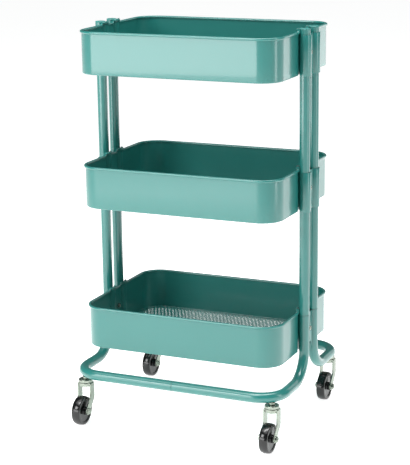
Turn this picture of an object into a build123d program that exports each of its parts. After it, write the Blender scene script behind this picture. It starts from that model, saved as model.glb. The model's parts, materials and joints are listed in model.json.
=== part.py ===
"""Rolling utility cart: three sheet-steel trays on two pairs of steel tubes, with four swivel casters.

Millimetres. X runs along the cart's long side, Y from front to rear, Z up from the floor.
The origin is on the floor, at the middle of everything that stands on it.
"""
from build123d import *
from math import cos, radians, sin, sqrt
import os

# ---- driving dimensions: trays -------------------------------------------------------------
tray_length = 408.0          # outside of the wall, along X
tray_width = 302.0           # outside of the wall, along Y
tray_height = 82.0           # underside to the top of the rim
tray_corner_r = 42.0         # plan radius of the wall's corners
sheet = 1.0                  # wall thickness
bead_r = 2.7                 # rolled rim, centred on the wall's outer face
ear_rise = 5.5               # how far the rim steps up where it passes behind a tube
ear_post_r = 3.0             # upright bit of rim at each step
channel_gap = 4.0            # from a tube to the wall that is pressed in behind it
mouth_r = 3.5                # bend where the end wall turns into a channel
hem_r = 2.5                  # rounded lower edge of the wall
floor_lip = 10.0             # ledge turned in at the foot of the wall, which the mesh lies on
mesh_depth = 1.6             # thickness of the expanded mesh
mesh_edge_gap = 1.0          # from the mesh's edge to the wall

# ---- driving dimensions: heights and frame --------------------------------------------------
overall_height = 780.0       # floor to the tops of the tube caps
middle_rim_z = 516.0         # rim of the middle tray as delivered
bottom_rim_z = 236.5
tube_r = 10.0
tube_wall = 1.2
tube_standoff = 8.7          # tube axis beyond the tray's end wall
tube_pitch = 48.0            # front tube to rear tube, at one end
rail_spread = 344.0          # front rail to rear rail, axis to axis
rail_z = 104.0               # axis of the rails
corner_bend_r = 50.0         # plan bend from a rail into an arm
rise_bend_r = 55.0           # bend from an arm up into a post
joint_drop = 7.5             # bottom tray's rim down to the joint of lower and upper tubes
seam = 0.8                   # groove left at each butt joint of two tubes
sleeve_wall = 1.5
sleeve_length = 60.0
close_fit = 0.15             # between fixed round parts that are pushed together
past = 1.0                   # how far a cutter runs past what it cuts

# ---- driving dimensions: brackets and fixings ------------------------------------------------
bracket_sheet = 2.0
slide_gap = 0.3              # from a tube to the bracket's lobe
bracket_below_rim = 6.5      # top edge of a bracket under the rim
valley_offset = 0.8          # back of the bracket's valley beyond the tube's axis
web_arch_r = 13.0            # arched foot of the web plate
web_height = 74.0            # web plate, top edge to the feet of its arch
screw_r = 2.5
screw_head_r = 4.6
screw_head_h = 2.6
screw_head_round = 1.8       # rounded rim of the pan head
nut_flats = 8.0
nut_height = 4.0
screw_tail = 1.5             # thread left standing out of a nut
spacer_r = 6.0

# ---- driving dimensions: tube caps ------------------------------------------------------------
cap_head = 3.0
cap_plug = 12.0

# ---- driving dimensions: casters --------------------------------------------------------------
wheel_r = 29.0
wheel_width = 17.2
shoulder_r = 2.4             # rounded edge of the tread
tread_crown = 0.8            # middle of the tread above its edges
web_recess = 1.6             # how far the wheel's side is dished
rim_depth = 6.5              # solid band under the tread
hub_r = 8.0
trail = 20.0                 # swivel axis to axle
axle_r = 3.0
running_fit = 0.05           # radial, shaft in bush and kingpin in fork
bush_wall = 2.0
fork_side_gap = 0.3          # hub to fork leg
hub_proud = 3.3              # hub beyond the wheel's side
fork_sheet = 2.5
fork_strap = 16.0            # width of the fork's strap
fork_end_r = 7.5
crown_r = 13.5               # round crown under the balls, riveted into the strap
crown_depth = 6.5
fork_kink = 23.0             # where the legs start to lean back, above the axle
race_r = 14.0                # swivel's upper cup
race_sheet = 1.8
race_skirt = 4.2             # cup's rim, below its plate
ball_r = 2.4
ball_circle_r = 9.0
ball_count = 10
ball_gap = 0.15
kingpin_r = 3.0
kingpin_head_r = 5.0
kingpin_head_h = 2.3
stem_r = 4.0
stem_reach = 12.0            # stem inside the tube
neck_r = 6.0
neck_h = 5.0                 # collar between tube and cup
axle_hex = 10.0              # across the flats of bolt head and nut
axle_head_h = 4.0
axle_nut_h = 5.0
axle_thread = 1.0            # thread left standing out of the nut
nut_flange_r = 6.2
nut_flange_h = 1.2

# ---- sizes that follow --------------------------------------------------------------------------
end_x = tray_length / 2
side_y = tray_width / 2
tube_x = end_x + tube_standoff
tube_y = tube_pitch / 2
rail_y = rail_spread / 2
channel_r = tube_r + channel_gap
tube_bore = tube_r - tube_wall
top_rim_z = overall_height - ear_rise
joint_z = bottom_rim_z - joint_drop
upper_top_z = overall_height - cap_head
valley_x = tube_x + valley_offset
lobe_r = tube_r + slide_gap
hole_r = screw_r + 2 * close_fit
screw_z = -tray_height / 2   # screws sit at the middle of the wall, counted from the rim

caster_x = tube_x - corner_bend_r * (1 - cos(radians(45)))
caster_y = rail_y - corner_bend_r * (1 - sin(radians(45)))
cup_top = rail_z - tube_r - neck_h
cup_under = cup_top - race_sheet
fork_top = cup_under - 2 * (ball_r + ball_gap)
crown_under = fork_top - crown_depth
fork_inner = wheel_width / 2 + hub_proud + fork_side_gap
fork_outer = fork_inner + fork_sheet

front_reach = max(rail_y + tube_r, caster_y + trail + wheel_r)
rear_reach = max(rail_y + tube_r, caster_y + race_r)
centring = (front_reach - rear_reach) / 2

SIDES = {"left": -1, "right": 1}
ENDS = {"front": -1, "rear": 1}
OUT = "parts"


def save(name, *solids):
    """Write one node, moved so that the origin is centred under the whole cart."""
    moved = [Pos(0, centring, 0) * solid for solid in solids]
    shape = moved[0] if len(moved) == 1 else Compound(children=moved)
    export_step(shape, f"{OUT}/{name}.step")


def upright(x, y, z_low, z_high, radius):
    """A vertical round bar between two heights."""
    return Pos(x, y, (z_low + z_high) / 2) * Cylinder(radius, z_high - z_low)


def crosswise(x_low, x_high, y, z, radius):
    """A round bar along X."""
    bar = Rot(0, 90, 0) * Cylinder(radius, x_high - x_low)
    return Pos((x_low + x_high) / 2, y, z) * bar


def hexagon_bar(x_low, x_high, y, z, flats):
    """A hexagonal bar along X."""
    outline = RegularPolygon(flats / 2, 6, major_radius=False)
    face = Plane(origin=(x_low, y, z), x_dir=(0, 1, 0), z_dir=(1, 0, 0)) * outline
    return extrude(face, x_high - x_low)


# ---- trays: drawn once, with the top of the rim at z = 0 -------------------------------------------
def tray_plan(inset):
    """The tray's outline: a rounded rectangle with two channels pressed in at each end."""
    plan = RectangleRounded(tray_length - 2 * inset, tray_width - 2 * inset, tray_corner_r - inset)
    for x, turn in ((-tube_x, 180), (tube_x, 0)):
        for y in (-tube_y, tube_y):
            plan -= Pos(x, y) * Rot(0, 0, turn) * Circle(channel_r + inset)
    near_tubes = tube_y + channel_r + inset
    mouths = [v for v in plan.vertices() if abs(v.Y) < near_tubes]
    return fillet(mouths, max(mouth_r - inset, sheet))


def tray_wall():
    """Pressed wall with a turned-in ledge at its foot and a round hem."""
    blank = Pos(0, 0, -tray_height) * extrude(tray_plan(0), tray_height - bead_r)
    blank = fillet(blank.faces().sort_by(Axis.Z)[0].edges(), hem_r)
    room = Pos(0, 0, sheet - tray_height) * extrude(tray_plan(sheet), tray_height)
    window = Pos(0, 0, -sheet - tray_height) * extrude(tray_plan(sheet + floor_lip), tray_height)
    return blank - room - window


def rim_bead():
    """Rolled rim: round bar along the wall's top edge, one step higher behind each tube."""
    low_z = -bead_r
    high_z = low_z + ear_rise
    edges = tray_plan(0).edges()
    arcs = [e for e in edges if e.geom_type == GeomType.CIRCLE and abs(e.radius - channel_r) < 0.01]
    runs = Wire.combine([e for e in edges if e not in arcs])
    bead = None
    for path, z in [(w, low_z) for w in runs] + [(Wire([a]), high_z) for a in arcs]:
        path = Pos(0, 0, z) * path
        start = Plane(origin=path @ 0, z_dir=path % 0)
        bar = sweep(start * Circle(bead_r), path=path)
        bead = bar if bead is None else bead + bar
    for end in [point for arc in arcs for point in (arc @ 0, arc @ 1)]:
        bead += upright(end.X, end.Y, low_z - bead_r / 2, high_z + bead_r / 2, ear_post_r)
    return bead


def ear_walls():
    """The wall's short rise under each raised length of rim."""
    ring = tray_plan(0) - tray_plan(sheet)
    near = Sketch() + [Pos(x, y) * Circle(channel_r + sheet)
                       for x in (-tube_x, tube_x) for y in (-tube_y, tube_y)]
    return Pos(0, 0, -bead_r) * extrude(ring & near, ear_rise)


def tray():
    """One tray without its mesh, with a screw hole in the middle of each end wall."""
    body = tray_wall() + ear_walls() + rim_bead()
    for x in (-end_x, end_x):
        body -= crosswise(x - 3 * sheet, x + 3 * sheet, 0, screw_z, hole_r)
    return body


def tray_mesh():
    """The floor mesh's envelope: a thin panel on the ledge."""
    return Pos(0, 0, sheet - tray_height) * extrude(tray_plan(sheet + mesh_edge_gap), mesh_depth)


# ---- brackets and fixings: heights counted from the rim too ------------------------------------------
def bracket(side):
    """Stamped bracket: two half-round lobes over the tubes, with a flat valley between."""
    outer = Sketch()
    inner = Sketch()
    for y in (-tube_y, tube_y):
        outer += Pos(tube_x, y) * Circle(lobe_r + bracket_sheet)
        inner += Pos(tube_x, y) * Circle(lobe_r)
    outer += Pos(valley_x + bracket_sheet / 2, 0) * Rectangle(bracket_sheet, tube_pitch)
    reach = 2 * lobe_r
    keep = Pos(valley_x + reach, 0) * Rectangle(2 * reach, 2 * tube_pitch)
    plan = (outer & keep) - inner
    plate = Pos(0, 0, -tray_height) * extrude(plan, tray_height - bracket_below_rim)
    plate -= crosswise(valley_x - past, valley_x + bracket_sheet + past, 0, screw_z, hole_r)
    return plate if side > 0 else mirror(plate, about=Plane.YZ)


def web_plate(side):
    """Plate welded between the two lower tubes of one end, arched at its foot."""
    clear = tube_r + close_fit
    reach = tube_y - sqrt(clear ** 2 - valley_offset ** 2)
    low_z = -joint_drop - web_height
    face = Pos(0, low_z + web_height / 2) * Rectangle(2 * reach, web_height)
    face -= Pos(0, low_z) * Circle(web_arch_r)
    plate = extrude(Plane.YZ.offset(valley_x) * face, bracket_sheet)
    for y in (-tube_y, tube_y):
        plate -= upright(tube_x, y, low_z - past, past - joint_drop, clear)
    plate -= crosswise(valley_x - past, valley_x + bracket_sheet + past, 0, screw_z, hole_r)
    return plate if side > 0 else mirror(plate, about=Plane.YZ)


def screw(side):
    """Pan-head screw from the bracket's valley to the inside of the tray."""
    seat = valley_x + bracket_sheet
    tip = end_x - sheet - nut_height - screw_tail
    head = crosswise(seat, seat + screw_head_h, 0, screw_z, screw_head_r)
    head = fillet(head.faces().sort_by(Axis.X)[-1].edges(), screw_head_round)
    body = head + crosswise(tip, seat, 0, screw_z, screw_r)
    return body if side > 0 else mirror(body, about=Plane.YZ)


def screw_nut(side):
    """Hexagon nut on the inner face of the end wall."""
    inner_face = end_x - sheet
    body = hexagon_bar(inner_face - nut_height, inner_face, 0, screw_z, nut_flats)
    body -= crosswise(inner_face - nut_height - past, inner_face + past, 0, screw_z, screw_r + close_fit)
    return body if side > 0 else mirror(body, about=Plane.YZ)


def spacer(side):
    """Sleeve on the screw that holds bracket and tray wall apart."""
    body = crosswise(end_x, valley_x, 0, screw_z, spacer_r)
    body -= crosswise(end_x - past, valley_x + past, 0, screw_z, hole_r)
    return body if side > 0 else mirror(body, about=Plane.YZ)


# ---- tubes ----------------------------------------------------------------------------------------
def lower_tube(side, end):
    """Half a rail, a corner bend, an arm and the foot of a post, bent from one tube."""
    route = FilletPolyline(
        (seam / 2, rail_y, rail_z), (tube_x, rail_y, rail_z),
        (tube_x, tube_y, rail_z), (tube_x, tube_y, joint_z - seam / 2),
        radius=[corner_bend_r, rise_bend_r])
    start = Plane(origin=route @ 0, z_dir=route % 0)
    tube = sweep(start * Circle(tube_r), path=route) - sweep(start * Circle(tube_bore), path=route)
    tube -= upright(caster_x, caster_y, rail_z - 2 * tube_r, rail_z, stem_r + close_fit)
    if side < 0:
        tube = mirror(tube, about=Plane.YZ)
    return tube if end > 0 else mirror(tube, about=Plane.XZ)


def upper_tube(side, end):
    """Straight post from the joint to under the cap."""
    low_z = joint_z + seam / 2
    x, y = side * tube_x, end * tube_y
    return upright(x, y, low_z, upper_top_z, tube_r) - upright(x, y, low_z - past, upper_top_z + past, tube_bore)


def coupler(side, end):
    """Sleeve inside the joint of a lower and an upper tube."""
    x, y = side * tube_x, end * tube_y
    low_z, high_z = joint_z - sleeve_length / 2, joint_z + sleeve_length / 2
    outer = upright(x, y, low_z, high_z, tube_bore - close_fit)
    return outer - upright(x, y, low_z - past, high_z + past, tube_bore - close_fit - sleeve_wall)


def rail_sleeve(end):
    """Sleeve inside the joint of the two half rails."""
    y = end * rail_y
    outer = crosswise(-sleeve_length / 2, sleeve_length / 2, y, rail_z, tube_bore - close_fit)
    return outer - crosswise(-sleeve_length, sleeve_length, y, rail_z, tube_bore - close_fit - sleeve_wall)


def tube_cap(side, end):
    """Plug with a flat head that closes the top of a post."""
    x, y = side * tube_x, end * tube_y
    head = upright(x, y, upper_top_z, overall_height, tube_r)
    head = fillet(head.faces().sort_by(Axis.Z)[-1].edges(), cap_head / 2)
    return head + upright(x, y, upper_top_z - cap_plug, upper_top_z, tube_bore - close_fit)


# ---- casters ----------------------------------------------------------------------------------------
def caster_stem():
    """Stem, cup and riveted kingpin of one swivel, about Z."""
    skirt_z = cup_under - race_skirt
    rivet_top = crown_under - ball_gap
    rivet_low = rivet_top - kingpin_head_h
    points = [
        (0, rivet_low), (kingpin_head_r, rivet_low), (kingpin_head_r, rivet_top), (kingpin_r, rivet_top),
        (kingpin_r, cup_under), (race_r - race_sheet, cup_under), (race_r - race_sheet, skirt_z),
        (race_r, skirt_z), (race_r, cup_top - race_sheet / 2), (race_r - race_sheet / 2, cup_top),
        (neck_r, cup_top), (neck_r, cup_top + neck_h - close_fit), (stem_r, cup_top + neck_h - close_fit),
        (stem_r, cup_top + neck_h + stem_reach), (0, cup_top + neck_h + stem_reach)]
    return revolve(make_face(Plane.XZ * Polyline(*points, close=True)), Axis.Z)


def caster_balls():
    """Ring of balls between the cup and the fork."""
    z = fork_top + ball_gap + ball_r
    spots = PolarLocations(ball_circle_r, ball_count)
    return [Pos(0, 0, z) * place * Sphere(ball_r) for place in spots]


def caster_fork():
    """Bent strap with a round top and two legs that lean back to the axle."""
    leg_height = fork_top - wheel_r - fork_kink
    side_view = Pos(0, wheel_r + fork_kink + leg_height / 2) * Rectangle(fork_strap, leg_height)
    kink = Pos(0, wheel_r + fork_kink) * Circle(fork_end_r)
    eye = Pos(-trail, wheel_r) * Circle(fork_end_r)
    side_view += make_hull(kink.edges() + eye.edges())
    legs = extrude(Plane.YZ.offset(-fork_outer) * side_view, 2 * fork_outer)
    legs = fillet(legs.edges().filter_by(Axis.Y).group_by(Axis.Z)[-1], fork_sheet)
    room_height = fork_top - fork_sheet
    legs -= Pos(0, 0, room_height / 2) * Box(2 * fork_inner, 8 * fork_strap, room_height)
    body = legs + upright(0, 0, crown_under, fork_top, crown_r)
    body -= upright(0, 0, crown_under - past, fork_top + past, kingpin_r + running_fit)
    return body - crosswise(-2 * fork_outer, 2 * fork_outer, -trail, wheel_r, axle_r + close_fit)


def axle_bolt():
    """Bolt through both legs, with its head on the left."""
    end = fork_outer + axle_nut_h + axle_thread
    bolt = crosswise(-fork_outer, end, -trail, wheel_r, axle_r)
    return bolt + hexagon_bar(-fork_outer - axle_head_h, -fork_outer, -trail, wheel_r, axle_hex)


def axle_nut():
    """Flanged nut on the right leg."""
    nut = hexagon_bar(fork_outer, fork_outer + axle_nut_h, -trail, wheel_r, axle_hex)
    nut += crosswise(fork_outer, fork_outer + nut_flange_h, -trail, wheel_r, nut_flange_r)
    return nut - crosswise(fork_outer - past, fork_outer + 2 * axle_nut_h, -trail, wheel_r, axle_r + close_fit)


def wheel():
    """Moulded wheel about X: crowned tread, dished sides and a hub bored for the bush."""
    half = wheel_width / 2
    bore = axle_r + running_fit + bush_wall + close_fit
    band = wheel_r - rim_depth
    hub_end = half + hub_proud
    side = [(bore, -hub_end), (hub_r, -hub_end), (hub_r, web_recess - half), (band, web_recess - half),
            (band, -half), (wheel_r - tread_crown - shoulder_r, -half)]
    right = [(r, -x) for r, x in reversed(side)]
    with BuildSketch(Plane.XZ) as section:
        with BuildLine():
            Polyline(*side)
            ThreePointArc(side[-1], (wheel_r - tread_crown - 0.3 * shoulder_r, 0.3 * shoulder_r - half),
                          (wheel_r - tread_crown, shoulder_r - half))
            ThreePointArc((wheel_r - tread_crown, shoulder_r - half), (wheel_r, 0),
                          (wheel_r - tread_crown, half - shoulder_r))
            ThreePointArc((wheel_r - tread_crown, half - shoulder_r),
                          (wheel_r - tread_crown - 0.3 * shoulder_r, half - 0.3 * shoulder_r), right[0])
            Polyline(*right)
            Line(right[-1], side[0])
        make_face()
    body = Rot(0, 90, 0) * revolve(section.sketch, Axis.Z)
    return Pos(0, -trail, wheel_r) * body


def wheel_bush():
    """Sleeve in the wheel's bore, which turns on the axle."""
    half = wheel_width / 2 + hub_proud + fork_side_gap / 3
    inner = axle_r + running_fit
    bush = crosswise(-half, half, -trail, wheel_r, inner + bush_wall)
    return bush - crosswise(-2 * half, 2 * half, -trail, wheel_r, inner)


def save_caster(name, x, y):
    """The seven pieces of one caster; every caster trails towards the front."""
    place = Pos(x, y, 0)
    save(f"{name}_caster_stem", place * caster_stem())
    save(f"{name}_caster_balls", *[place * ball for ball in caster_balls()])
    save(f"{name}_caster_fork", place * caster_fork())
    save(f"{name}_axle_bolt", place * axle_bolt())
    save(f"{name}_axle_nut", place * axle_nut())
    save(f"{name}_wheel", place * wheel())
    save(f"{name}_wheel_bush", place * wheel_bush())


# ---- the cart -----------------------------------------------------------------------------------------
os.makedirs(OUT, exist_ok=True)

one_tray = tray()
one_mesh = tray_mesh()
for level, rim_z in {"top": top_rim_z, "middle": middle_rim_z, "bottom": bottom_rim_z}.items():
    save(f"{level}_tray", Pos(0, 0, rim_z) * one_tray)
    save(f"{level}_tray_mesh", Pos(0, 0, rim_z) * one_mesh)

for level, rim_z in {"top": top_rim_z, "middle": middle_rim_z}.items():
    for side_name, side in SIDES.items():
        save(f"{level}_bracket_{side_name}", Pos(0, 0, rim_z) * bracket(side))

for group, rims in {"fixed_tray": (top_rim_z, bottom_rim_z), "middle_tray": (middle_rim_z,)}.items():
    places = [(side, Pos(0, 0, rim_z)) for rim_z in rims for side in SIDES.values()]
    save(f"{group}_screws", *[place * screw(side) for side, place in places])
    save(f"{group}_nuts", *[place * screw_nut(side) for side, place in places])
    save(f"{group}_spacers", *[place * spacer(side) for side, place in places])

corners = [(side, end) for end in ENDS.values() for side in SIDES.values()]
save("tube_couplers", *[coupler(*corner) for corner in corners])
save("tube_caps", *[tube_cap(*corner) for corner in corners])
save("rail_sleeves", *[rail_sleeve(end) for end in ENDS.values()])

for side_name, side in SIDES.items():
    save(f"web_plate_{side_name}", Pos(0, 0, bottom_rim_z) * web_plate(side))
    for end_name, end in ENDS.items():
        corner = f"{end_name}_{side_name}"
        save(f"lower_tube_{corner}", lower_tube(side, end))
        save(f"upper_tube_{corner}", upper_tube(side, end))
        save_caster(corner, side * caster_x, end * caster_y)

print(f"length over brackets {2 * (tube_x + lobe_r + bracket_sheet):.1f}, "
      f"depth {front_reach + rear_reach:.1f}, height {overall_height:.1f}, "
      f"origin moved {centring:.2f} towards the rear")
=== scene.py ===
# %% [markdown]
# # A rolling utility cart
# The cart is sheet steel and steel tube, powder coated in one teal colour, on four swivel casters.
# An engineering model already fixes every size and every moving part. This lesson loads it as a frame,
# then rebuilds the pieces that the eye rests on, so that bends are round and edges catch the light.
# Flat and hidden pieces stay as they are and only get a finish.

# %% Load the frame
import json
from math import acos, atan2, cos, hypot, pi, radians, sin, sqrt

import bmesh
import bpy
from mathutils import Matrix, Vector


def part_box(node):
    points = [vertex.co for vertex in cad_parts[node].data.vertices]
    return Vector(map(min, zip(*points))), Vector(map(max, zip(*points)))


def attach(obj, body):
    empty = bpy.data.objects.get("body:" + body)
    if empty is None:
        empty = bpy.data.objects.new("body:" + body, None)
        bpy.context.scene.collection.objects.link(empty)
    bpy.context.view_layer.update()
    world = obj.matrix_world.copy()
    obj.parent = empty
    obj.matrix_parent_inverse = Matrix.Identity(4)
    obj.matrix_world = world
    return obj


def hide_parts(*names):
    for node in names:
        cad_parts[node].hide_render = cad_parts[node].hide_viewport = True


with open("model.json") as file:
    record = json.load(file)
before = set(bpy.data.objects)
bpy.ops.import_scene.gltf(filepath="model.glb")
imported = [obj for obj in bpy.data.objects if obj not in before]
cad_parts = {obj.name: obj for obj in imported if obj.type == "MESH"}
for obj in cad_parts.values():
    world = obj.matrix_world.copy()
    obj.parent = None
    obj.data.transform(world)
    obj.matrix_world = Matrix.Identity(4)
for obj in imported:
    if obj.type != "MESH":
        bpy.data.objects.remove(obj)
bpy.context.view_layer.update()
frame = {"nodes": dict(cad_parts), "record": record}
MM = 0.001
CORNERS = ("front_left", "front_right", "rear_left", "rear_right")

# %% [markdown]
# ## Nodes without the noise
# Materials and Geometry Nodes are both node trees. One helper makes a node, sets its properties,
# and either types a value into each input or links another node's output to it.

# %% A helper that adds one node
def add(tree, kind, settings=None, inputs=None):
    node = tree.nodes.new(kind)
    for name, value in (settings or {}).items():
        setattr(node, name, value)
    for key, value in (inputs or {}).items():
        if isinstance(value, bpy.types.NodeSocket):
            tree.links.new(value, node.inputs[key])
        else:
            node.inputs[key].default_value = value
    return node


def linear(hex_colour):
    """An sRGB hex colour as the linear RGBA that shaders work in."""
    channels = [int(hex_colour[i:i + 2], 16) / 255 for i in (1, 3, 5)]
    return [c / 12.92 if c <= 0.04045 else ((c + 0.055) / 1.055) ** 2.4 for c in channels] + [1.0]


# %% [markdown]
# ## Finishes
# Every finish starts the same way: two close colours drift into each other over a patch size that
# the real process gives, the roughness drifts a little with them, and a fine bump stops the surface
# from looking like glass. Patch and grain sizes are real, in millimetres, so a noise scale is one over
# that size. Object coordinates keep the pattern still on the piece when the piece moves.

# %% A base for all finishes
def finish(name, dark, light, patch, roughness, grain, bump, metallic=0.0, **sockets):
    """A finish named for its real material. patch and grain are sizes in millimetres."""
    material = bpy.data.materials.new(name)
    material.use_nodes = True
    tree = material.node_tree
    shader = tree.nodes["Principled BSDF"]
    place = add(tree, "ShaderNodeTexCoord").outputs["Object"]
    drift = add(tree, "ShaderNodeTexNoise", None, {"Vector": place, "Scale": 1 / (patch * MM), "Detail": 1.0})
    colour = add(tree, "ShaderNodeMix", {"data_type": "RGBA"},
                 {"Factor": drift.outputs["Fac"], "A": linear(dark), "B": linear(light)})
    dull = add(tree, "ShaderNodeMapRange", None,
               {"Value": drift.outputs["Fac"], "To Min": roughness[0], "To Max": roughness[1]})
    fine = add(tree, "ShaderNodeTexNoise", None, {"Vector": place, "Scale": 1 / (grain * MM), "Detail": 2.0})
    relief = add(tree, "ShaderNodeBump", None,
                 {"Height": fine.outputs["Fac"], "Strength": 1.0, "Distance": bump * MM})
    for socket, output in (("Base Color", colour.outputs["Result"]), ("Roughness", dull.outputs["Result"]),
                           ("Normal", relief.outputs["Normal"])):
        tree.links.new(output, shader.inputs[socket])
    shader.inputs["Metallic"].default_value = metallic
    for socket, value in sockets.items():
        shader.inputs[socket.replace("_", " ")].default_value = value
    return material


# %% [markdown]
# Gloss powder coat is paint baked on as dust. It flows almost smooth but keeps a faint orange peel,
# here drawn 5 mm wide so that it shows, and a clear-looking top that mirrors soft light.
# Zinc plating is a bright grey with a slight green cast and dull cloudy patches. Cast nylon wheels are
# near black and shiny. Acetal, hardened steel and drawn steel finish the parts inside.

# %% The cart's own finishes
powder_coat = finish("gloss_powder_coat", "#22746e", "#267973", 120, (0.27, 0.33), 5.0, 0.003,
                     Coat_Weight=0.7, Coat_Roughness=0.08)
zinc_plate = finish("zinc_plated_steel", "#838d82", "#a2aa9f", 6, (0.16, 0.36), 0.8, 0.008, metallic=1.0)
wheel_nylon = finish("cast_black_nylon", "#050606", "#090b0b", 12, (0.12, 0.20), 1.5, 0.004, IOR=1.53)
acetal = finish("moulded_acetal", "#dcd8cb", "#e6e3d8", 8, (0.35, 0.45), 1.0, 0.01, IOR=1.48)
ball_steel = finish("hardened_bearing_steel", "#b9bcbf", "#cdd0d2", 4, (0.06, 0.10), 0.5, 0.002, metallic=1.0)
drawn_steel = finish("drawn_mild_steel", "#65686b", "#7c7f82", 10, (0.38, 0.52), 0.7, 0.02, metallic=1.0)
spacer_nylon = finish("moulded_black_nylon", "#121314", "#1b1d1e", 8, (0.40, 0.55), 0.8, 0.02, IOR=1.53)
cap_plastic = finish("dyed_polyethylene", "#357a75", "#3d8780", 20, (0.38, 0.48), 1.2, 0.015)

SLOT_FINISH = {
    "teal_powder_coat": powder_coat, "zinc_plated_steel": zinc_plate, "wheel_nylon": wheel_nylon,
    "bush_plastic": acetal, "bearing_steel": ball_steel, "bare_steel": drawn_steel,
    "spacer_plastic": spacer_nylon, "cap_plastic": cap_plastic}

slot_of = {part["node"]: part["material_slot"] for part in frame["record"]["subparts"]}
body_of = {node: body for body, nodes in frame["record"]["behaviour"]["bodies"].items() for node in nodes}
for node, piece in frame["nodes"].items():
    piece.data.materials.clear()
    piece.data.materials.append(SLOT_FINISH[slot_of[node]])
print("finishes:", len(SLOT_FINISH), "for", len(slot_of), "nodes")

# %% [markdown]
# ## Turning data into pieces
# Three small helpers carry the rest of the lesson. The first makes a mesh object. The second bakes an
# object's modifiers into a plain mesh and turns its faces outwards. The third gives the piece the finish
# of its node's slot, hangs it on the body it rides on and hides the engineering nodes it stands for.

# %% Helpers for pieces
SHARP = radians(35)


def mesh_object(name, points, faces):
    mesh = bpy.data.meshes.new(name)
    mesh.from_pydata(points, [], faces)
    piece = bpy.data.objects.new(name, mesh)
    bpy.context.collection.objects.link(piece)
    return piece


def bake(source, name):
    """The evaluated shape of an object as a new plain mesh object; the source is removed."""
    graph = bpy.context.evaluated_depsgraph_get()
    graph.update()
    mesh = bpy.data.meshes.new_from_object(source.evaluated_get(graph), depsgraph=graph)
    bpy.data.objects.remove(source)
    work = bmesh.new()
    work.from_mesh(mesh)
    bmesh.ops.remove_doubles(work, verts=work.verts, dist=0.004 * MM)
    bmesh.ops.recalc_face_normals(work, faces=work.faces)
    work.to_mesh(mesh)
    work.free()
    mesh.shade_smooth()
    mesh.set_sharp_from_angle(angle=SHARP)
    mesh.name = name
    piece = bpy.data.objects.new(name, mesh)
    bpy.context.collection.objects.link(piece)
    return piece


def seat(piece, *nodes):
    """Give a finished piece the finish of its node's slot and its body, and hide the nodes it stands for."""
    slot = slot_of[nodes[0]]
    piece.data.materials.clear()
    piece.data.materials.append(SLOT_FINISH[slot])
    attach(piece, body_of[nodes[0]])
    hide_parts(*nodes)
    return piece


def middle(low, high):
    return (Vector(low) + Vector(high)) / 2


# %% [markdown]
# ## The tray's outline
# All three trays are one pressing: a rounded rectangle whose end walls fold inwards around each pair
# of tubes. Seen from above, a quarter of it is a line, a small bend, a hollow arc round the tube,
# another small bend, a line, the big corner and a last line. Each point also keeps the direction that
# faces out of the wall, because the wall's section is set out along it, and how far the rim has
# stepped up there: fully up along the hollow arc, and rising over the small bends.

# %% Sizes of the pressing
SHEET = 1.0 * MM
BEAD_R = 2.7 * MM
EAR_RISE = 5.5 * MM
CORNER_R = 42.0 * MM
CHANNEL_R = 14.0 * MM
MOUTH_R = 3.5 * MM
HEM_R = 2.5 * MM
LEDGE = 10.0 * MM
TUBE_R = 10.0 * MM
TUBE_WALL = 1.2 * MM

tray_low, tray_high = (Vector(corner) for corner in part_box("top_tray"))
half_x = (tray_high.x - tray_low.x) / 2 - BEAD_R
half_y = (tray_high.y - tray_low.y) / 2 - BEAD_R
cart_y = middle(tray_low, tray_high).y
post = middle(*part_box("upper_tube_rear_right"))
post_x, post_y = post.x, post.y - cart_y
print(f"tray wall {2 * half_x:.3f} by {2 * half_y:.3f} m, posts at {post_x:.4f}, {post_y:.4f}")


def arc(centre, radius, start, end, count, hollow=False, rise=(0, 0)):
    """Points round an arc, each with its outward direction and its share of the rim's step."""
    rows = []
    for i in range(count + 1):
        t = i / count
        angle = start + (end - start) * t
        out = Vector((cos(angle), sin(angle)))
        eased = t * t * (3 - 2 * t)
        rows.append((centre + radius * out, -out if hollow else out, rise[0] + (rise[1] - rise[0]) * eased))
    return rows


def quarter_outline():
    """From the middle of the right end round to the middle of the rear side."""
    tube = Vector((post_x, post_y))
    bend_x = half_x - MOUTH_R
    reach = sqrt((CHANNEL_R + MOUTH_R) ** 2 - (post_x - bend_x) ** 2)
    near, far = Vector((bend_x, post_y - reach)), Vector((bend_x, post_y + reach))
    swing = acos((post_x - bend_x) / (CHANNEL_R + MOUTH_R))
    corner = Vector((half_x - CORNER_R, half_y - CORNER_R))
    rows = [(Vector((half_x, 0)), Vector((1, 0)), 0)]
    rows += arc(near, MOUTH_R, 0, swing, 8, rise=(0, 1))
    rows += arc(tube, CHANNEL_R, pi + swing, pi - swing, 24, hollow=True, rise=(1, 1))[1:]
    rows += arc(far, MOUTH_R, -swing, 0, 8, rise=(1, 0))[1:]
    rows += [(Vector((half_x, (far.y + corner.y) / 2)), Vector((1, 0)), 0)]
    rows += arc(corner, CORNER_R, 0, pi / 2, 28)
    return rows + [(Vector((x, half_y)), Vector((0, 1)), 0) for x in (half_x / 2, 0)]


def full_outline():
    """The quarter mirrored into four, always running anticlockwise."""
    rows = []
    for sx, sy in ((1, 1), (-1, 1), (-1, -1), (1, -1)):
        flip = Vector((sx, sy))
        part = [(p * flip, n * flip, rise) for p, n, rise in quarter_outline()]
        rows += (part if sx * sy > 0 else part[::-1])[:-1]
    return rows


outline = full_outline()
print("outline points:", len(outline))

# %% [markdown]
# ## The tray's section
# The wall's section is walked once round: ledge, inner face, rolled rim, outer face, round hem,
# underside. Carried round the outline, it makes a closed skin with a real sheet thickness, and the rim
# stays a full round where it climbs over the ear behind a tube. Lofting it by hand, point row by point
# row, keeps the four ears exact, which a curve sweep would round off.

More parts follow.
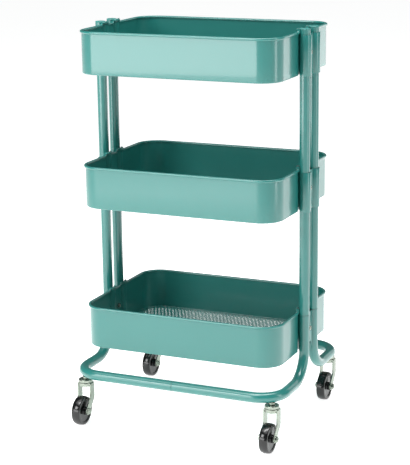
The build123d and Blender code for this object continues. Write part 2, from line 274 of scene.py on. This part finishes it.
# %% Loft one tray
def wall_section(height):
    """(distance out from the wall's outer face, height above the foot, moves with the rim)."""
    bead_z = height - BEAD_R
    meet = atan2(-sqrt(BEAD_R ** 2 - SHEET ** 2), -SHEET) + 2 * pi
    inner = HEM_R - SHEET
    rows = []
    for i in range(5):
        a = i / 4 * pi / 2
        rows.append((-SHEET - inner + inner * sin(a), SHEET + inner - inner * cos(a), 0))
    rows.append((-SHEET, height / 2, 0))
    for i in range(25):
        a = meet + (-pi / 2 - meet) * i / 24
        rows.append((BEAD_R * cos(a), bead_z + BEAD_R * sin(a), 1))
    rows.append((0, height / 2, 0))
    for i in range(7):
        a = i / 6 * pi / 2
        rows.append((-HEM_R + HEM_R * cos(a), HEM_R - HEM_R * sin(a), 0))
    return rows


def ledge_edge(point):
    """The nearest point of the ledge's inner edge, a plain rounded rectangle."""
    edge = Vector((post_x - CHANNEL_R - SHEET - LEDGE / 2, half_y - SHEET - LEDGE))
    radius = CORNER_R - SHEET - LEDGE
    x, y = abs(point.x), abs(point.y)
    over_x, over_y = x - (edge.x - radius), y - (edge.y - radius)
    if over_x > 0 and over_y > 0:
        scale = radius / hypot(over_x, over_y)
        x, y = edge.x - radius + over_x * scale, edge.y - radius + over_y * scale
    elif edge.x - x < edge.y - y:
        x = edge.x
    else:
        y = edge.y
    return Vector((x if point.x > 0 else -x, y if point.y > 0 else -y))


def tray_piece(node):
    low, high = (Vector(corner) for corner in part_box(node))
    section = wall_section(high.z - low.z - EAR_RISE)
    points = []
    for p, out, rise in outline:
        edge = ledge_edge(p)
        points.append((edge.x, edge.y + cart_y, low.z + SHEET))
        for offset, z, moves in section:
            at = p + out * offset
            points.append((at.x, at.y + cart_y, low.z + z + moves * rise * EAR_RISE))
        points.append((edge.x, edge.y + cart_y, low.z))
    row = len(section) + 2
    faces = []
    for i in range(len(outline)):
        a, b = i * row, (i + 1) % len(outline) * row
        faces += [(a + j, a + (j + 1) % row, b + (j + 1) % row, b + j) for j in range(row)]
    return seat(bake(mesh_object(node + "_blank", points, faces), node + "_pressing"), node)


trays = [tray_piece(f"{level}_tray") for level in ("top", "middle", "bottom")]
print("tray faces:", [len(tray.data.polygons) for tray in trays])

# %% [markdown]
# ## Three helpers for Geometry Nodes
# Whatever follows a rule or a path is grown by a node tree: mesh floors, tubes and screws. Each tree
# starts with named inputs and ends as real geometry with its material. Inputs are set on the modifier
# by their identifiers before the tree first runs, and the result is baked to a plain mesh.

# %% Start, end and run a tree
def new_tree(name, inputs):
    tree = bpy.data.node_groups.new(name, "GeometryNodeTree")
    tree.interface.new_socket("Geometry", in_out="INPUT", socket_type="NodeSocketGeometry")
    for label, kind, value in inputs:
        socket = tree.interface.new_socket(label, in_out="INPUT", socket_type=kind)
        if value is not None:
            socket.default_value = value
    tree.interface.new_socket("Geometry", in_out="OUTPUT", socket_type="NodeSocketGeometry")
    return tree, add(tree, "NodeGroupInput").outputs


def end_tree(tree, geometry, material):
    """Every tree ends as real geometry with its material."""
    real = add(tree, "GeometryNodeRealizeInstances", None, {"Geometry": geometry})
    done = add(tree, "GeometryNodeSetMaterial", None, {"Geometry": real.outputs[0], "Material": material})
    add(tree, "NodeGroupOutput", None, {"Geometry": done.outputs[0]})


def grow(tree, host, name, values):
    """Run a tree on a host object with the given inputs and bake the result."""
    modifier = host.modifiers.new("grow", "NODES")
    modifier.node_group = tree
    for socket in tree.interface.items_tree:
        if socket.in_out == "INPUT" and socket.name in values:
            modifier[socket.identifier] = values[socket.name]
    host.update_tag()
    return bake(host, name)


# %% [markdown]
# ## Expanded metal floors
# The floors are expanded metal: a sheet slit in staggered rows and pulled open into diamonds.
# It is a rule, so Geometry Nodes make it. A square grid is turned 45 degrees and stretched, which makes
# the diamonds. Faces outside the tray are deleted, each face left is inset and its middle removed, and
# the net that is left is given its thickness. Opening sizes and strand width are inputs.

# %% The tree for expanded metal
FLOAT = "NodeSocketFloat"
lattice, given = new_tree("expanded_metal", [
    ("Half length", FLOAT, 0.2), ("Half width", FLOAT, 0.15), ("Corner radius", FLOAT, 0.04),
    ("Post x", FLOAT, 0.21), ("Post y", FLOAT, 0.024), ("Post clearance", FLOAT, 0.02),
    ("Long way", FLOAT, 0.016), ("Short way", FLOAT, 0.008), ("Open share", FLOAT, 0.7),
    ("Thickness", FLOAT, 0.001), ("Rows", "NodeSocketInt", 100), ("Material", "NodeSocketMaterial", None)])


def maths(operation, a, b=0.0):
    return add(lattice, "ShaderNodeMath", {"operation": operation}, {0: a, 1: b}).outputs[0]


plus = maths("ADD", given["Rows"], 1.0)
grid = add(lattice, "GeometryNodeMeshGrid", None,
           {"Size X": given["Rows"], "Size Y": given["Rows"], "Vertices X": plus, "Vertices Y": plus})
turned = add(lattice, "GeometryNodeTransform", None,
             {"Geometry": grid.outputs[0], "Rotation": (0, 0, pi / 4)})
stretch = add(lattice, "ShaderNodeCombineXYZ", None,
              {0: maths("DIVIDE", given["Short way"], sqrt(2)),
               1: maths("DIVIDE", given["Long way"], sqrt(2)), 2: 1.0})
diamonds = add(lattice, "GeometryNodeTransform", None,
               {"Geometry": turned.outputs[0], "Scale": stretch.outputs[0]})
spot = add(lattice, "ShaderNodeSeparateXYZ", None, {0: add(lattice, "GeometryNodeInputPosition").outputs[0]})
far_x, far_y = maths("ABSOLUTE", spot.outputs[0]), maths("ABSOLUTE", spot.outputs[1])


def distance(x, y):
    flat = add(lattice, "ShaderNodeCombineXYZ", None, {0: x, 1: y})
    length = add(lattice, "ShaderNodeVectorMath", {"operation": "LENGTH"}, {0: flat.outputs[0]})
    return length.outputs["Value"]


def beyond(far, half):
    """How far a point lies past the straight part of one side, never below zero."""
    straight = maths("SUBTRACT", half, given["Corner radius"])
    return maths("MAXIMUM", maths("SUBTRACT", far, straight), 0.0)


over_x, over_y = beyond(far_x, given["Half length"]), beyond(far_y, given["Half width"])
past_edge = maths("GREATER_THAN", distance(over_x, over_y), given["Corner radius"])
at_post = maths("LESS_THAN", distance(maths("SUBTRACT", far_x, given["Post x"]),
                                      maths("SUBTRACT", far_y, given["Post y"])), given["Post clearance"])
trimmed = add(lattice, "GeometryNodeDeleteGeometry", {"domain": "FACE"},
              {"Geometry": diamonds.outputs[0], "Selection": maths("MAXIMUM", past_edge, at_post)})
opened = add(lattice, "GeometryNodeExtrudeMesh", {"mode": "FACES"},
             {"Mesh": trimmed.outputs[0], "Offset Scale": 0.0, "Individual": True})
shrunk = add(lattice, "GeometryNodeScaleElements", {"domain": "FACE"},
             {"Geometry": opened.outputs["Mesh"], "Selection": opened.outputs["Top"],
              "Scale": given["Open share"]})
net = add(lattice, "GeometryNodeDeleteGeometry", {"domain": "FACE"},
          {"Geometry": shrunk.outputs[0], "Selection": opened.outputs["Top"]})
raised = add(lattice, "GeometryNodeExtrudeMesh", {"mode": "FACES"},
             {"Mesh": net.outputs[0], "Offset Scale": given["Thickness"], "Individual": False})
under = add(lattice, "GeometryNodeFlipFaces", None, {"Mesh": net.outputs[0]})
both = add(lattice, "GeometryNodeJoinGeometry", None, {"Geometry": raised.outputs["Mesh"]})
lattice.links.new(under.outputs[0], both.inputs[0])
end_tree(lattice, both.outputs[0], given["Material"])

# %% [markdown]
# The openings are 8 mm across. Their length from front to rear, twice that, is a guess at the grade.
# The net stops half an opening short of the wall, so that its outermost points lie on the ledge.

# %% Grow the three floors
LONG_WAY = 16.0 * MM
SHORT_WAY = 8.0 * MM
OPEN_SHARE = 0.56
MESH_THICK = 1.3 * MM
EDGE_KEEP = LONG_WAY / 2 + 0.5 * MM     # the outermost diamonds end on the ledge, clear of the wall


def floor_mesh(node):
    low, high = (Vector(corner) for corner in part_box(node))
    host = mesh_object(node + "_host", [(0, 0, 0)], [])
    length, width = half_x - SHEET - EDGE_KEEP, half_y - SHEET - EDGE_KEEP
    values = {
        "Half length": length, "Half width": width, "Corner radius": CORNER_R - SHEET - EDGE_KEEP,
        "Post x": post_x, "Post y": post_y, "Post clearance": CHANNEL_R + SHEET + EDGE_KEEP,
        "Long way": LONG_WAY, "Short way": SHORT_WAY, "Open share": OPEN_SHARE, "Thickness": MESH_THICK,
        "Rows": int(2 * (length / SHORT_WAY + width / LONG_WAY)) + 2, "Material": powder_coat}
    piece = grow(lattice, host, node + "_strands", values)
    piece.data.transform(Matrix.Translation((0, cart_y, low.z)))
    return seat(piece, node)


floors = [floor_mesh(f"{level}_tray_mesh") for level in ("top", "middle", "bottom")]
print("strand faces in one floor:", len(floors[0].data.polygons))

# %% [markdown]
# ## Tubes
# Each tube is one path: for a lower tube, half a rail, a bend, an arm, a rise and the foot of a post.
# The path is drawn as corners, and a formula rounds them. Geometry Nodes sweep a circle along it and
# pull the skin inwards by the wall's thickness, so the tube is hollow and its cut ends show the wall.

# %% The tree for a tube
tubing, given = new_tree("round_tube", [
    ("Radius", FLOAT, TUBE_R), ("Wall", FLOAT, TUBE_WALL), ("Sides", "NodeSocketInt", 48),
    ("Material", "NodeSocketMaterial", None)])
ring = add(tubing, "GeometryNodeCurvePrimitiveCircle", None,
           {"Resolution": given["Sides"], "Radius": given["Radius"]})
skin = add(tubing, "GeometryNodeCurveToMesh", None,
           {"Curve": given["Geometry"], "Profile Curve": ring.outputs[0], "Fill Caps": False})
inward = add(tubing, "ShaderNodeMath", {"operation": "MULTIPLY"}, {0: given["Wall"], 1: -1.0})
bore = add(tubing, "GeometryNodeExtrudeMesh", {"mode": "FACES"},
           {"Mesh": skin.outputs[0], "Offset Scale": inward.outputs[0], "Individual": False})
hollow = add(tubing, "GeometryNodeJoinGeometry", None, {"Geometry": skin.outputs[0]})
tubing.links.new(bore.outputs["Mesh"], hollow.inputs[0])
end_tree(tubing, hollow.outputs[0], given["Material"])


# %% [markdown]
# A tube bender leaves true arcs, so each corner of a path becomes an arc of the bending die's radius.
# The ends of every tube are read from the frame. Only the two die radii and the tube's size are typed.

# %% Bend and sweep the tubes
def rounded_path(corners, radii, steps=20):
    """Corners joined by straight runs, with an arc of the given radius at each inner corner."""
    points = [Vector(corners[0])]
    for before, corner, after, radius in zip(corners, corners[1:], corners[2:], radii):
        here = Vector(corner)
        back, on = (Vector(before) - here).normalized(), (Vector(after) - here).normalized()
        inward_way = (back + on).normalized()
        half = back.angle(on) / 2
        centre = here + inward_way * radius / sin(half)
        cut_back = radius * cos(half) / sin(half)
        first, last = here + back * cut_back, here + on * cut_back
        for i in range(steps + 1):
            t = i / steps
            sweep = pi - 2 * half
            a, b = first - centre, last - centre
            points.append(centre + (a * sin((1 - t) * sweep) + b * sin(t * sweep)) / sin(sweep))
    return points + [Vector(corners[-1])]


def tube_piece(node, path):
    curve = bpy.data.curves.new(node, "CURVE")
    curve.dimensions = "3D"
    spline = curve.splines.new("POLY")
    spline.points.add(len(path) - 1)
    for point, place in zip(spline.points, path):
        point.co = (*place, 1)
    host = bpy.data.objects.new(node + "_path", curve)
    bpy.context.collection.objects.link(host)
    values = {"Radius": TUBE_R, "Wall": TUBE_WALL, "Sides": 48, "Material": powder_coat}
    return seat(grow(tubing, host, node + "_tube", values), node)


CORNER_BEND_R = 50.0 * MM
RISE_BEND_R = 55.0 * MM
tube_pieces = []
for corner in CORNERS:
    end, side = (-1 if "front" in corner else 1), (-1 if "left" in corner else 1)
    low, high = (Vector(c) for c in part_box("lower_tube_" + corner))
    rail_z = low.z + TUBE_R
    rail_y = high.y - TUBE_R if end > 0 else low.y + TUBE_R
    inner_x = low.x if side > 0 else high.x
    foot = (side * post_x, end * post_y + cart_y)
    turns = [(inner_x, rail_y, rail_z), (foot[0], rail_y, rail_z), (*foot, rail_z), (*foot, high.z)]
    path = rounded_path(turns, [CORNER_BEND_R, RISE_BEND_R])
    tube_pieces.append(tube_piece("lower_tube_" + corner, path))
    low, high = (Vector(c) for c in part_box("upper_tube_" + corner))
    tube_pieces.append(tube_piece("upper_tube_" + corner, [Vector((*foot, low.z)), Vector((*foot, high.z))]))
print("tubes:", len(tube_pieces))

# %% [markdown]
# ## Softened edges
# Brackets, web plates, forks, nuts and caps have the right shape already. What gives away a computer
# model is a perfectly sharp edge, so each gets a copy whose triangles are merged back into faces and
# whose edges are rounded by a Bevel modifier, about as much as plating or paint rounds them.

# %% Soften the stamped and machined pieces
def softened(node, width):
    copy = frame["nodes"][node].copy()
    copy.data = copy.data.copy()
    copy.parent = None
    copy.matrix_world = Matrix.Identity(4)
    bpy.context.collection.objects.link(copy)
    work = bmesh.new()
    work.from_mesh(copy.data)
    bmesh.ops.remove_doubles(work, verts=work.verts, dist=0.002 * MM)
    bmesh.ops.dissolve_limit(work, angle_limit=radians(1), verts=work.verts, edges=work.edges)
    work.to_mesh(copy.data)
    work.free()
    bevel = copy.modifiers.new("soft edge", "BEVEL")
    bevel.width = width
    bevel.segments = 2
    bevel.limit_method = "ANGLE"
    bevel.angle_limit = radians(40)
    return seat(bake(copy, node + "_soft"), node)


edge_widths = {"tube_caps": 0.3 * MM}
for side in ("left", "right"):
    edge_widths[f"top_bracket_{side}"] = edge_widths[f"middle_bracket_{side}"] = 0.45 * MM
    edge_widths[f"web_plate_{side}"] = 0.4 * MM
for corner in CORNERS:
    edge_widths[f"{corner}_caster_fork"] = 0.4 * MM
    edge_widths[f"{corner}_axle_nut"] = edge_widths[f"{corner}_axle_bolt"] = 0.35 * MM
for level in ("middle", "fixed"):
    edge_widths[f"{level}_tray_nuts"] = 0.3 * MM
soft_pieces = [softened(node, width) for node, width in edge_widths.items()]
print("pieces with softened edges:", len(soft_pieces))

# %% [markdown]
# ## Turned and moulded round parts
# A wheel, a cup and a screw head are profiles spun about an axis. The wheel's profile has what shows:
# a crowned tread, a round shoulder with a fine moulding line inside it, a dished side and a hub.

# %% Spin a profile
AXIS_GAP = 0.05 * MM          # a spun skin keeps this hair's breadth from its axis, so no face is flat


def spun(profile, origin, axis, steps):
    """Points (radius, distance along the axis) carried round the axis into a closed skin."""
    along = Vector(axis)
    side_way = along.orthogonal().normalized()
    other_way = along.cross(side_way)
    points, faces = [], []
    for i in range(steps):
        a = 2 * pi * i / steps
        out = side_way * cos(a) + other_way * sin(a)
        points += [tuple(origin + out * r + along * h) for r, h in profile]
    count = len(profile)
    for i in range(steps):
        a, b = i * count, (i + 1) % steps * count
        faces += [(a + j, b + j, b + (j + 1) % count, a + (j + 1) % count) for j in range(count)]
    return points, faces


def bend(centre, radius, start, end, count):
    """Profile points round an arc, angles in degrees."""
    return [(centre[0] + radius * cos(radians(start + (end - start) * i / count)),
             centre[1] + radius * sin(radians(start + (end - start) * i / count))) for i in range(count + 1)]


WHEEL_R = 29.0 * MM
WHEEL_HALF = 8.6 * MM
SHOULDER_R = 2.2 * MM
CROWN = 0.8 * MM
HUB_R = 8.0 * MM
BORE_R = 5.2 * MM


def wheel_profile():
    """One side of the wheel from bore to the middle of the tread, then the same mirrored."""
    hub_half = WHEEL_HALF + 3.3 * MM
    dish = WHEEL_HALF - 1.8 * MM
    band = WHEEL_R - 7.0 * MM
    edge = WHEEL_R - CROWN - SHOULDER_R
    side = [(BORE_R, hub_half - 0.5 * MM), (BORE_R + 0.5 * MM, hub_half), (HUB_R - 0.6 * MM, hub_half)]
    side += bend((HUB_R - 0.6 * MM, hub_half - 0.6 * MM), 0.6 * MM, 60, 0, 3)
    side += bend((HUB_R + 1.2 * MM, dish + 1.2 * MM), 1.2 * MM, 180, 270, 5)
    side += bend((band - 1.0 * MM, dish + 1.0 * MM), 1.0 * MM, 270, 360, 4)
    side += bend((band + 0.6 * MM, WHEEL_HALF - 0.6 * MM), 0.6 * MM, 180, 90, 3)
    side += [(edge - 2.6 * MM, WHEEL_HALF), (edge - 2.3 * MM, WHEEL_HALF - 0.35 * MM)]
    side += [(edge - 2.0 * MM, WHEEL_HALF)]
    side += bend((edge, WHEEL_HALF - SHOULDER_R), SHOULDER_R, 90, 8, 8)
    side += [(WHEEL_R - CROWN * f * f, (WHEEL_HALF - SHOULDER_R) * f) for f in (0.75, 0.5, 0.25, 0.0)]
    return side + [(r, -h) for r, h in side[-2::-1]]


def wheel_piece(corner):
    node = corner + "_wheel"
    centre = middle(*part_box(node))
    points, faces = spun(wheel_profile(), centre, (1, 0, 0), 96)
    return seat(bake(mesh_object(node + "_blank", points, faces), node + "_moulding"), node)


def cup_profile(stem_low, stem_high):
    """Kingpin head, kingpin, ball cup with a turned-down rim, collar and stem, as one riveted piece."""
    pin, head, cup, stem, collar = 3.0 * MM, 5.0 * MM, 14.0 * MM, 4.0 * MM, 6.0 * MM
    head_h, stem_h, collar_h, cup_sheet = 2.3 * MM, 12.4 * MM, 4.6 * MM, 1.8 * MM
    plate_top = stem_high - stem_h - collar_h
    plate_low = plate_top - cup_sheet
    rows = [(AXIS_GAP, stem_low), (head - 1.4 * MM, stem_low)]
    rows += bend((head - 1.4 * MM, stem_low + 1.4 * MM), 1.4 * MM, -70, 0, 4)
    rows += [(head, stem_low + head_h), (pin, stem_low + head_h), (pin, plate_low)]
    rows += [(cup - cup_sheet, plate_low), (cup - cup_sheet, plate_low - 3.3 * MM)]
    rows += bend((cup - 0.9 * MM, plate_low - 3.3 * MM), 0.9 * MM, 200, 340, 5)
    rows += bend((cup - 1.6 * MM, plate_top - 1.6 * MM), 1.6 * MM, 0, 90, 6)
    rows += [(cup - 4.5 * MM, plate_top), (cup - 5.2 * MM, plate_top - 0.6 * MM)]
    rows += [(collar + 1.2 * MM, plate_top - 0.6 * MM)]
    rows += [(collar, plate_top), (collar, plate_top + collar_h), (stem, plate_top + collar_h)]
    return rows + [(stem, stem_high - 0.6 * MM), (stem - 0.6 * MM, stem_high), (AXIS_GAP, stem_high)]


def cup_piece(corner):
    node = corner + "_caster_stem"
    low, high = (Vector(c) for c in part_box(node))
    centre = middle(low, high)
    points, faces = spun(cup_profile(low.z, high.z), Vector((centre.x, centre.y, 0)), (0, 0, 1), 72)
    return seat(bake(mesh_object(node + "_blank", points, faces), node + "_turned"), node)


casters = [(wheel_piece(corner), cup_piece(corner)) for corner in CORNERS]
print("wheel faces:", len(casters[0][0].data.polygons), "cup faces:", len(casters[0][1].data.polygons))

# %% [markdown]
# ## Screws
# Six pan-head screws clamp the trays. One head and shank is modelled, with a cross recess, and a small
# Geometry Nodes tree sets a copy at every hole, turned to face out of its end of the cart.

# %% One screw, then a tree that sets it out
SCREW_R = 2.5 * MM
HEAD_R = 4.6 * MM
HEAD_H = 2.6 * MM
HEAD_ROUND = 1.82 * MM


RECESS_REACH = 2.7 * MM
RECESS_HALF = 0.45 * MM
RECESS_DEPTH = 1.3 * MM
BOX_FACES = [(0, 1, 3, 2), (4, 6, 7, 5), (0, 4, 5, 1), (2, 3, 7, 6), (0, 2, 6, 4), (1, 5, 7, 3)]


def screw_blank(length):
    """A screw along +X: shank up to x = 0 and the head beyond it."""
    rows = [(AXIS_GAP, -length), (SCREW_R - 0.5 * MM, -length), (SCREW_R, -length + 0.6 * MM)]
    rows += [(SCREW_R, 0), (HEAD_R, 0)]
    rows += bend((HEAD_R - HEAD_ROUND, HEAD_H - HEAD_ROUND), HEAD_ROUND, 0, 90, 6) + [(AXIS_GAP, HEAD_H)]
    points, faces = spun(rows, Vector((0, 0, 0)), (1, 0, 0), 40)
    blank = bake(mesh_object("screw_blank", points, faces), "screw_blank")
    for reach_y, reach_z in ((RECESS_REACH, RECESS_HALF), (RECESS_HALF, RECESS_REACH)):
        box = [(x, y * reach_y, z * reach_z)
               for x in (HEAD_H - RECESS_DEPTH, HEAD_H + RECESS_DEPTH) for y in (-1, 1) for z in (-1, 1)]
        cutter = mesh_object("recess", box, BOX_FACES)
        cut = blank.modifiers.new("recess", "BOOLEAN")
        cut.operation = "DIFFERENCE"
        cut.object = cutter
        blank = bake(blank, "screw_blank")
        bpy.data.objects.remove(cutter)
    return blank


setting_out, given = new_tree("set_screws", [
    ("Screw", "NodeSocketObject", None), ("Material", "NodeSocketMaterial", None)])
copy_of = add(setting_out, "GeometryNodeObjectInfo", None, {"Object": given["Screw"]})
hole = add(setting_out, "GeometryNodeInputPosition")
where = add(setting_out, "ShaderNodeSeparateXYZ", None, {0: hole.outputs[0]})
facing = add(setting_out, "ShaderNodeCombineXYZ", None, {0: where.outputs[0]})
turn = add(setting_out, "FunctionNodeAlignRotationToVector", {"axis": "X"}, {"Vector": facing.outputs[0]})
placed = add(setting_out, "GeometryNodeInstanceOnPoints", None,
             {"Points": given["Geometry"], "Instance": copy_of.outputs["Geometry"],
              "Rotation": turn.outputs[0]})
end_tree(setting_out, placed.outputs[0], given["Material"])


def set_screws(node, holes, blank):
    host = mesh_object(node + "_holes", holes, [])
    return seat(grow(setting_out, host, node + "_set", {"Screw": blank, "Material": zinc_plate}), node)


NUT_H = 4.0 * MM
THREAD_SHOWN = 1.5 * MM
screw_low, screw_high = (Vector(c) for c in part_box("middle_tray_screws"))
seat_x = screw_high.x - HEAD_H
tip_x = half_x - SHEET - NUT_H - THREAD_SHOWN
blank = screw_blank(seat_x - tip_x)
middle_z = (screw_low.z + screw_high.z) / 2
fixed_low, fixed_high = (Vector(c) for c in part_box("fixed_tray_screws"))
set_screws("middle_tray_screws", [(s * seat_x, cart_y, middle_z) for s in (-1, 1)], blank)
set_screws("fixed_tray_screws", [(s * seat_x, cart_y, z) for s in (-1, 1)
                                 for z in (fixed_low.z + HEAD_R, fixed_high.z - HEAD_R)], blank)
bpy.data.objects.remove(blank)
print(f"screws {seat_x - tip_x:.4f} m under the head")

# %% [markdown]
# ## Studio
# Gloss paint is judged by what it mirrors, so each light is placed for the reflection it gives.
# The front walls mirror what stands low at the front left: a panel there gives the top tray its pale
# sheen, and the lower trays mirror the table instead. A strip on the right draws a line down each
# rounded corner, a panel at the rear right brightens the end walls, and a thin strip overhead draws
# the rims. A key light high at the front left reaches the rear walls inside the trays. The table is
# white acrylic lit from below, which leaves almost no shadow, and the surround is dim.

# %% Floor, lights and surround
floor = mesh_object("studio_floor", [(-24, -24, 0), (24, -24, 0), (24, 24, 0), (-24, 24, 0)], [(0, 1, 2, 3)])
floor.data.materials.append(finish("lit_acrylic_table", "#f6f6f5", "#f9f9f8", 300, (0.75, 0.85), 4.0, 0.01,
                                   Emission_Color=linear("#ffffff"), Emission_Strength=0.84))

world = bpy.data.worlds.new("grey_surround")
world.use_nodes = True
world.node_tree.nodes["Background"].inputs["Color"].default_value = linear("#e9eeee")
world.node_tree.nodes["Background"].inputs["Strength"].default_value = 0.15
bpy.context.scene.world = world


def soft_light(name, place, aim, size, power):
    data = bpy.data.lights.new(name, "AREA")
    data.shape = "RECTANGLE"
    data.size, data.size_y = size
    data.energy = power
    light = bpy.data.objects.new(name, data)
    light.location = place
    light.rotation_euler = (Vector(aim) - Vector(place)).to_track_quat("-Z", "Y").to_euler()
    bpy.context.collection.objects.link(light)


soft_light("low_front_panel", (-1.0, -2.3, 0.42), (0, 0, 0.5), (1.9, 0.6), 19)
soft_light("front_key", (-1.2, -2.6, 1.7), (0, 0, 0.45), (1.2, 1.0), 36)
soft_light("right_strip", (2.3, 0.0, 0.9), (0, 0, 0.6), (0.5, 1.8), 10)
soft_light("rear_right_panel", (1.0, 2.4, 0.9), (0, 0, 0.6), (0.9, 1.8), 6)
soft_light("overhead", (-0.4, -0.6, 3.4), (0, 0, 0), (3.0, 3.0), 60)
soft_light("rim_strip", (0.2, -0.2, 2.4), (0, 0, 0), (2.4, 0.5), 40)

# %% [markdown]
# ## Camera
# A long lens from the right front, a little above the top tray, as catalogues show such carts. The lens
# is given as its focal length in image heights. From here the cart fills the height of the frame.

# %% Camera
SENSOR = 36.0
FOCAL_HEIGHTS = 3.282
camera = bpy.data.cameras.new("catalogue_camera")
camera.sensor_width = SENSOR
camera.lens = FOCAL_HEIGHTS * SENSOR
viewer = bpy.data.objects.new("catalogue_camera", camera)
viewer.location = (1.1916, -2.6733 + cart_y, 1.0973)
heading, dip, roll = 0.4210, 0.2443, 0.0131          # radians
look = Matrix.Rotation(heading, 3, "Z") @ Matrix.Rotation(pi / 2 - dip, 3, "X")
look = look @ Matrix.Rotation(-roll, 3, "Z")
viewer.rotation_euler = look.to_euler()
bpy.context.collection.objects.link(viewer)
bpy.context.scene.camera = viewer
bpy.context.scene.view_settings.view_transform = "Standard"
print(f"camera lens {camera.lens:.1f} mm, {(viewer.location - Vector((0, cart_y, 0.39))).length:.2f} m away")
